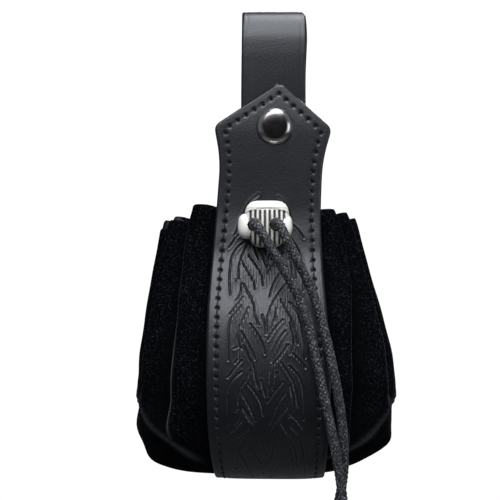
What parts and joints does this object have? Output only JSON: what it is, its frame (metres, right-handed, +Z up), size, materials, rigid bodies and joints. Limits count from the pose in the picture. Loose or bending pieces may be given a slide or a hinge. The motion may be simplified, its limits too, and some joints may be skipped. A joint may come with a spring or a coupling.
{
  "type": "drawstring dice bag",
  "caption": "Gathered velvet pouch with an embossed leather front strip, belt strap with snap tab, and drawstring with a carved bead.",
  "frame": {"origin": "middle of the belt gap, in the belt strap's loop", "axes": "+Z up, -Y towards the front (embossed strip), +X to the right seen from the front"},
  "size_m": [0.1046, 0.0748, 0.2392],
  "materials": {
    "face_leather": "embossed black leather, soft sheen",
    "lining_leather": "plain black leather",
    "strap_leather": "smooth black leather",
    "thread": "waxed black thread",
    "velvet": "black velvet",
    "nickel": "dark polished nickel",
    "cord": "braided black cord",
    "bead": "carved bone-coloured resin with dark grooves"
  },
  "bodies": {
    "bag": {"front_panel_outer": "face_leather", "front_panel_lining": "lining_leather", "front_panel_stitches": "thread", "back_panel_outer": "face_leather", "back_panel_lining": "lining_leather", "back_panel_stitches": "thread", "belt_strap_loop": "strap_leather", "strap_anchor_stitches": "thread", "bag_wall": "velvet", "bag_base": "velvet", "drawstring_held": "cord"},
    "tab": {"tab_outer": "face_leather", "tab_lining": "lining_leather", "tab_stitches": "thread", "snap_cap": "nickel", "snap_socket": "nickel"},
    "strap_end": {"belt_strap_end": "strap_leather", "snap_stud": "nickel", "snap_eyelet": "nickel"},
    "cord_pull": {"cord_bead": "bead", "drawstring_stem_left": "cord", "drawstring_stem_right": "cord", "cord_tail_left": "cord", "cord_tail_right": "cord", "cord_knot_left": "cord", "cord_knot_right": "cord"}
  },
  "joints": [
    {"name": "tab_fold", "type": "hinge", "parent": "bag", "child": "tab", "pos_m": [0, -0.01713, -0.05397], "axis": [1, 0, 0], "range_deg": [0, 85]},
    {"name": "strap_swing", "type": "hinge", "parent": "bag", "child": "strap_end", "pos_m": [0, -0.0071, 0.0121], "axis": [1, 0, 0], "range_deg": [-21.5, 0]},
    {"name": "drawstring_pull", "type": "slide", "parent": "bag", "child": "cord_pull", "axis": [0, -0.9852, 0.1715], "range_m": [0, 0.01]}
  ],
  "couplings": [
    {"joint": "strap_swing", "follows": "tab_fold", "ratio": -0.25}
  ]
}
